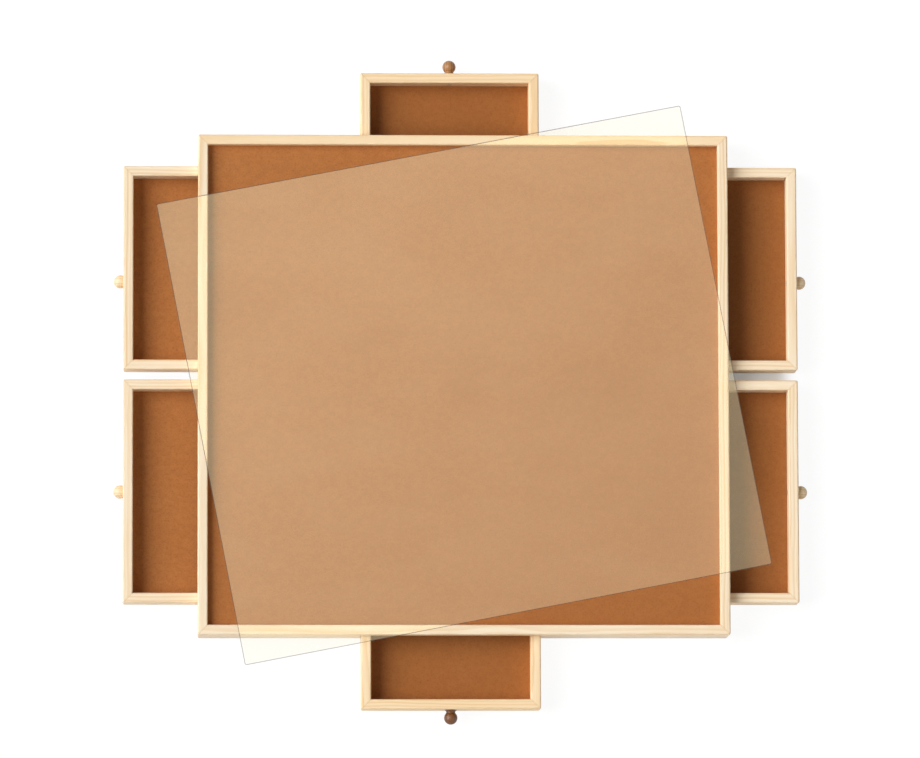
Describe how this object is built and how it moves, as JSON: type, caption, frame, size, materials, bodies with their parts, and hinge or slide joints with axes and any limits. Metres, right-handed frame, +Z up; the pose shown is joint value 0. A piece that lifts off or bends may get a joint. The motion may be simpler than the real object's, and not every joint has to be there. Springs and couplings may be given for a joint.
{
  "type": "tabletop jigsaw puzzle board with drawers",
  "caption": "Flat tabletop jigsaw board with a raised mitred pine rim, hardboard work surface, knobbed drawers sliding out from every side and a loose clear cover sheet.",
  "frame": {"origin": "middle of the underside of the case, on the surface that it lies on", "axes": "+X to the right drawers, +Y to the rear drawer, +Z up"},
  "size_m": [0.9686, 0.9333, 0.0658],
  "materials": {
    "pine": "satin lacquered pine",
    "runner_pine": "bare sawn pine",
    "hardboard": "smooth matt hardboard",
    "knob_beech": "turned and oiled beech",
    "screw_steel": "zinc plated",
    "clear_sheet": "clear, slightly hazy sheet"
  },
  "bodies": {
    "case": {"front_rail": "pine", "rear_rail": "pine", "left_rail": "pine", "right_rail": "pine", "work_panel": "hardboard", "left_rear_runner": "runner_pine", "left_middle_runner": "runner_pine", "left_front_runner": "runner_pine", "right_rear_runner": "runner_pine", "right_middle_runner": "runner_pine", "right_front_runner": "runner_pine", "left_end_runner": "runner_pine", "right_end_runner": "runner_pine", "right_stop_rail": "runner_pine", "front_drawer_stop": "runner_pine", "rear_drawer_stop": "runner_pine", "centre_bearer": "runner_pine"},
    "cover": {"cover_sheet": "clear_sheet"},
    "left_rear_drawer": {"left_rear_drawer_front": "pine", "left_rear_drawer_back": "pine", "left_rear_drawer_left_side": "pine", "left_rear_drawer_right_side": "pine", "left_rear_drawer_floor": "hardboard", "left_rear_drawer_knob": "knob_beech", "left_rear_drawer_knob_screw": "screw_steel"},
    "left_front_drawer": {"left_front_drawer_front": "pine", "left_front_drawer_back": "pine", "left_front_drawer_left_side": "pine", "left_front_drawer_right_side": "pine", "left_front_drawer_floor": "hardboard", "left_front_drawer_knob": "knob_beech", "left_front_drawer_knob_screw": "screw_steel"},
    "right_rear_drawer": {"right_rear_drawer_front": "pine", "right_rear_drawer_back": "pine", "right_rear_drawer_left_side": "pine", "right_rear_drawer_right_side": "pine", "right_rear_drawer_floor": "hardboard", "right_rear_drawer_knob": "knob_beech", "right_rear_drawer_knob_screw": "screw_steel"},
    "right_front_drawer": {"right_front_drawer_front": "pine", "right_front_drawer_back": "pine", "right_front_drawer_left_side": "pine", "right_front_drawer_right_side": "pine", "right_front_drawer_floor": "hardboard", "right_front_drawer_knob": "knob_beech", "right_front_drawer_knob_screw": "screw_steel"},
    "front_drawer": {"front_drawer_front": "pine", "front_drawer_back": "pine", "front_drawer_left_side": "pine", "front_drawer_right_side": "pine", "front_drawer_floor": "hardboard", "front_drawer_knob": "knob_beech", "front_drawer_knob_screw": "screw_steel"},
    "rear_drawer": {"rear_drawer_front": "pine", "rear_drawer_back": "pine", "rear_drawer_left_side": "pine", "rear_drawer_right_side": "pine", "rear_drawer_floor": "hardboard", "rear_drawer_knob": "knob_beech", "rear_drawer_knob_screw": "screw_steel"}
  },
  "joints": [
    {"name": "left_rear_drawer_slide", "type": "slide", "parent": "case", "child": "left_rear_drawer", "axis": [-1, 0, 0], "range_m": [-0.104, 0.0697]},
    {"name": "left_front_drawer_slide", "type": "slide", "parent": "case", "child": "left_front_drawer", "axis": [-1, 0, 0], "range_m": [-0.104, 0.0697]},
    {"name": "right_rear_drawer_slide", "type": "slide", "parent": "case", "child": "right_rear_drawer", "axis": [1, 0, 0], "range_m": [-0.098, 0.0757]},
    {"name": "right_front_drawer_slide", "type": "slide", "parent": "case", "child": "right_front_drawer", "axis": [1, 0, 0], "range_m": [-0.098, 0.0757]},
    {"name": "front_drawer_slide", "type": "slide", "parent": "case", "child": "front_drawer", "axis": [0, -1, 0], "range_m": [-0.102, 0.108]},
    {"name": "rear_drawer_slide", "type": "slide", "parent": "case", "child": "rear_drawer", "axis": [0, 1, 0], "range_m": [-0.0905, 0.1195]},
    {"name": "cover_lift", "type": "slide", "parent": "case", "child": "cover", "axis": [0, 0, 1], "range_m": [0, 0.15]}
  ]
}
